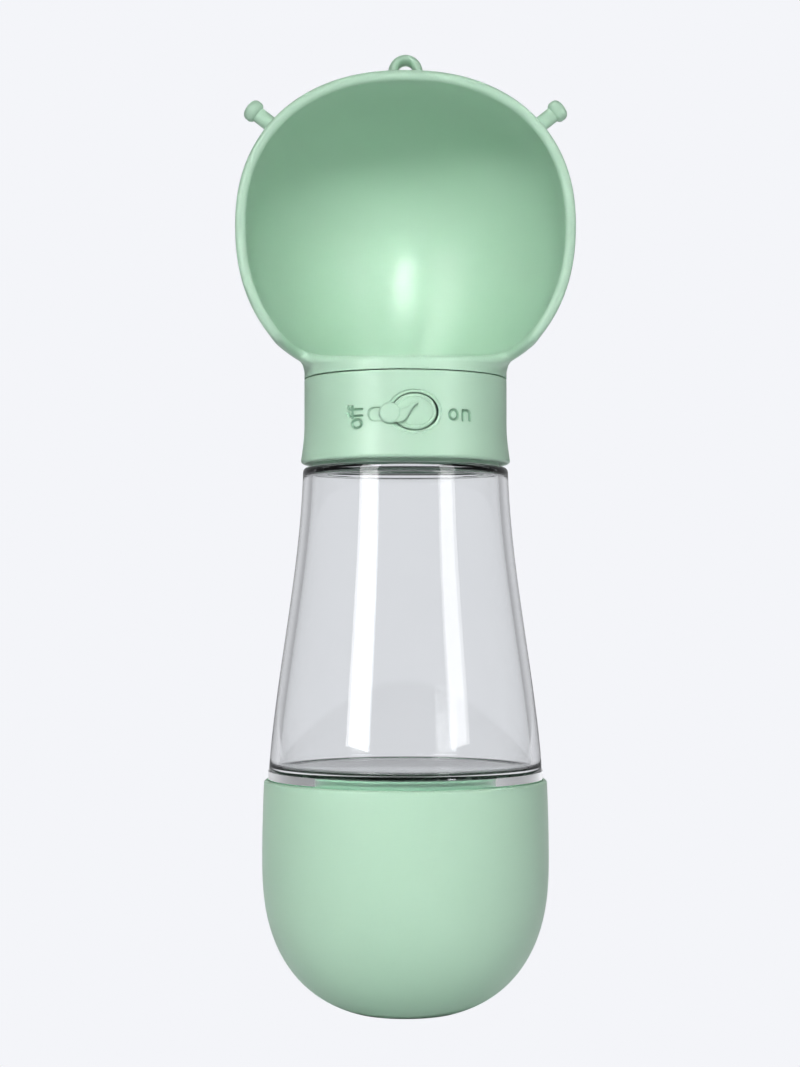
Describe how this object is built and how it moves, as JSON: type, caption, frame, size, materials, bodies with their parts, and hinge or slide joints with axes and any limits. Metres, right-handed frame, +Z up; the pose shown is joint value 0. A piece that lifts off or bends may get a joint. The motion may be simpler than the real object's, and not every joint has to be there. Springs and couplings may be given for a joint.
{
  "type": "dog travel water bottle",
  "caption": "Portable dog water bottle: scoop-shaped drinking bowl and push-button valve head on a clear bottle, with a screw-on round-bottomed food cup.",
  "frame": {"origin": "centre of the food cup's flat foot, on the bottle's axis", "axes": "+Z up along the bottle's axis, -Y out of the drinking bowl's mouth, +X to the right seen from the front"},
  "size_m": [0.091, 0.08, 0.2619],
  "materials": {
    "mint_plastic": "satin moulded polypropylene",
    "clear_plastic": "polished clear copolyester",
    "inner_plastic": "fine matt moulded plastic",
    "white_acetal": "smooth natural acetal",
    "silicone": "soft translucent silicone",
    "green_silicone": "soft tinted silicone",
    "nitrile": "black nitrile ring",
    "stainless": "bright drawn stainless steel"
  },
  "bodies": {
    "cup": {"food_cup": "mint_plastic"},
    "cup_ring": {"cup_gasket": "green_silicone"},
    "bottle": {"bottle_base": "clear_plastic", "bottle_shell": "clear_plastic"},
    "neck_ring": {"neck_gasket": "silicone"},
    "head": {"collar": "mint_plastic", "valve_housing": "inner_plastic", "housing_screws": "stainless", "stem_guide": "inner_plastic", "valve_spring": "stainless", "rod_seal": "nitrile", "rod_gland": "inner_plastic", "outlet_plate": "mint_plastic", "chamber_seal": "silicone", "outlet_grille": "inner_plastic", "drinking_bowl": "mint_plastic", "horn_left": "mint_plastic", "horn_right": "mint_plastic", "carry_eye": "mint_plastic"},
    "valve": {"valve_stem": "white_acetal", "stem_wedge": "white_acetal", "valve_plug": "silicone"},
    "button": {"push_button": "mint_plastic", "push_rod": "white_acetal"},
    "lock": {"lock_slider": "mint_plastic", "slider_clip": "white_acetal"}
  },
  "joints": [
    {"name": "cup_lift", "type": "slide", "parent": "cup", "child": "cup_ring", "axis": [0, 0, 1], "range_m": [0, 0.01]},
    {"name": "cup_turn", "type": "hinge", "parent": "cup_ring", "child": "bottle", "pos_m": [0, 0, 0.064], "axis": [0, 0, 1], "range_deg": [0, 450]},
    {"name": "neck_lift", "type": "slide", "parent": "bottle", "child": "neck_ring", "axis": [0, 0, 1], "range_m": [0, 0.0075]},
    {"name": "head_turn", "type": "hinge", "parent": "neck_ring", "child": "head", "pos_m": [0, 0, 0.152], "axis": [0, 0, 1], "range_deg": [0, 450]},
    {"name": "button_press", "type": "slide", "parent": "head", "child": "button", "axis": [0, 1, 0], "range_m": [0, 0.0025], "stiffness_N_per_m": 300, "springref_m": -0.003},
    {"name": "valve_drop", "type": "slide", "parent": "head", "child": "valve", "axis": [0, 0, -1], "range_m": [0, 0.0025], "stiffness_N_per_m": 300, "springref_m": -0.003, "deforming": ["valve_spring"]},
    {"name": "lock_slide", "type": "hinge", "parent": "head", "child": "lock", "pos_m": [0, 0, 0.164], "axis": [0, 0, 1], "range_deg": [-5.68, 0]}
  ],
  "couplings": [
    {"joint": "cup_turn", "follows": "cup_lift", "rad_per_m": 785.4},
    {"joint": "head_turn", "follows": "neck_lift", "rad_per_m": 1047.2},
    {"joint": "valve_drop", "follows": "button_press", "ratio": 1}
  ]
}
